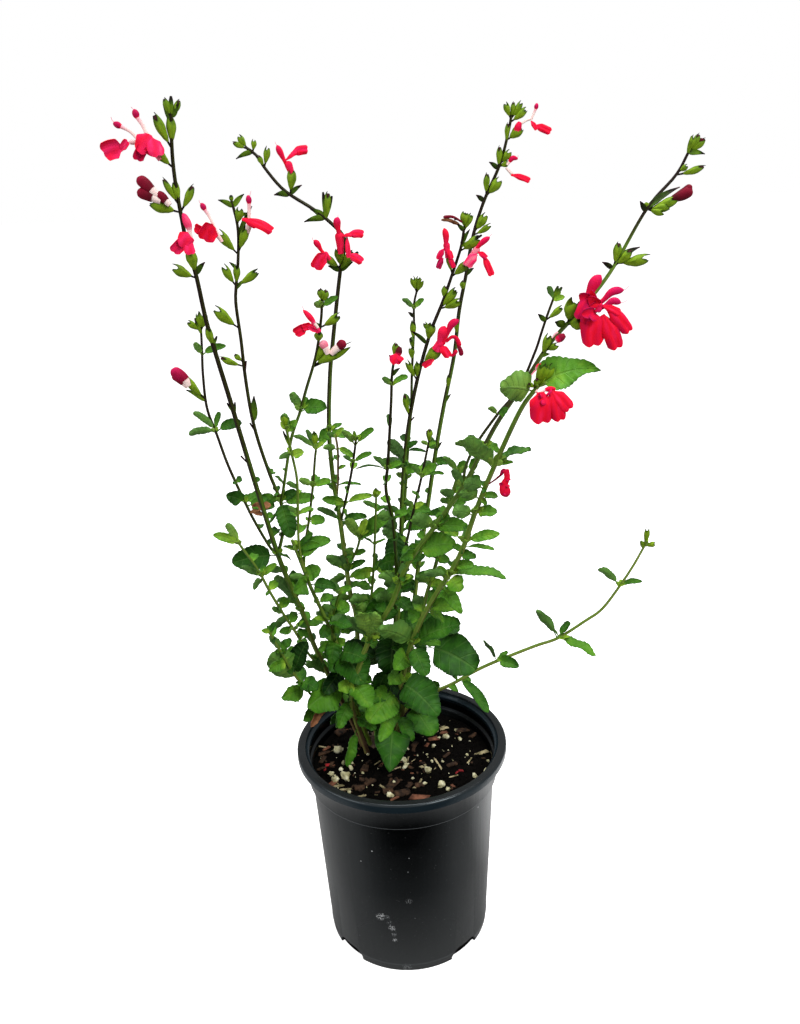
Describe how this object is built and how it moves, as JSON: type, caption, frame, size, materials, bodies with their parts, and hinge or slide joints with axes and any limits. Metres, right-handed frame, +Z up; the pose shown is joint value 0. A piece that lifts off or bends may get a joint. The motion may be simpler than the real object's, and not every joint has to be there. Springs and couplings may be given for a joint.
{
  "type": "perennial salvia in a nursery pot",
  "caption": "Tall airy shrubby sage with red two-lipped flowers on slender dark stems, crinkled green leaves, growing in a round black tapered nursery pot.",
  "frame": {"origin": "middle of the pot's underside, on the surface it stands on", "axes": "+Z up along the pot's axis; the picture looks along +Y, with +X to its right"},
  "size_m": [0.3589, 0.216, 0.6378],
  "materials": {
    "pot_plastic": "satin black moulded polypropylene, lighter on the lip",
    "soil": "loose black potting mix with bark chips and white perlite",
    "wood": "rough grey-brown bark",
    "dark_stem": "smooth purple-black young stem, green below",
    "green_stem": "smooth square green stem with brown flush",
    "leaf": "soft matt leaf with sunken veins, paler below",
    "flower": "velvety scarlet petal, magenta hood, green calyx with dark tips"
  },
  "bodies": {
    "root": {"flower_back_left": "flower", "flower_back_low": "flower", "flower_back_right": "flower", "flower_back_top": "flower", "flower_bent_left": "flower", "flower_bent_right": "flower", "flower_bent_top": "flower", "flower_bud_right_tip": "flower", "flower_front_right": "flower", "flower_inner": "flower", "flower_left_buds": "flower", "flower_left_middle": "flower", "flower_left_top": "flower", "flower_outer_red_bud": "flower", "flower_right_crimson": "flower", "flower_right_outer": "flower", "flower_right_upper": "flower", "flower_second_left": "flower", "flower_second_right": "flower", "leaf_back_foot_right": "leaf", "leaf_back_low_right": "leaf", "leaf_front_foot": "leaf", "leaf_front_low": "leaf", "leaf_front_lower_left": "leaf", "leaf_front_lower_right": "leaf", "leaf_front_middle_right": "leaf", "leaf_front_top_left": "leaf", "leaf_front_top_right": "leaf", "leaf_front_upper_left": "leaf", "leaf_front_upper_right": "leaf", "leaf_low_left_front": "leaf", "leaf_right_foot": "leaf", "leaf_short_foot": "leaf", "leaf_trailing_outer": "leaf", "leaf_trailing_rim": "leaf", "pot": "pot_plastic", "potting_soil": "soil", "root_crown": "wood", "shoot_beside_bent": "dark_stem", "shoot_centre": "green_stem", "shoot_front": "green_stem", "shoot_left_inner": "dark_stem", "shoot_left_outer": "dark_stem", "shoot_low_left": "green_stem", "shoot_low_left_front": "green_stem", "shoot_middle_back": "dark_stem", "shoot_middle_low": "dark_stem", "shoot_right_inner": "dark_stem", "shoot_short_left": "dark_stem", "shoot_short_right": "dark_stem", "stem_back_second": "green_stem", "stem_back_tall": "green_stem", "stem_bent": "dark_stem", "stem_front": "green_stem", "stem_left_second": "dark_stem", "stem_left_tall": "dark_stem", "stem_middle": "dark_stem", "stem_right_tall": "green_stem", "stem_short_pair": "green_stem", "stem_trailing": "green_stem"}
  },
  "joints": []
}
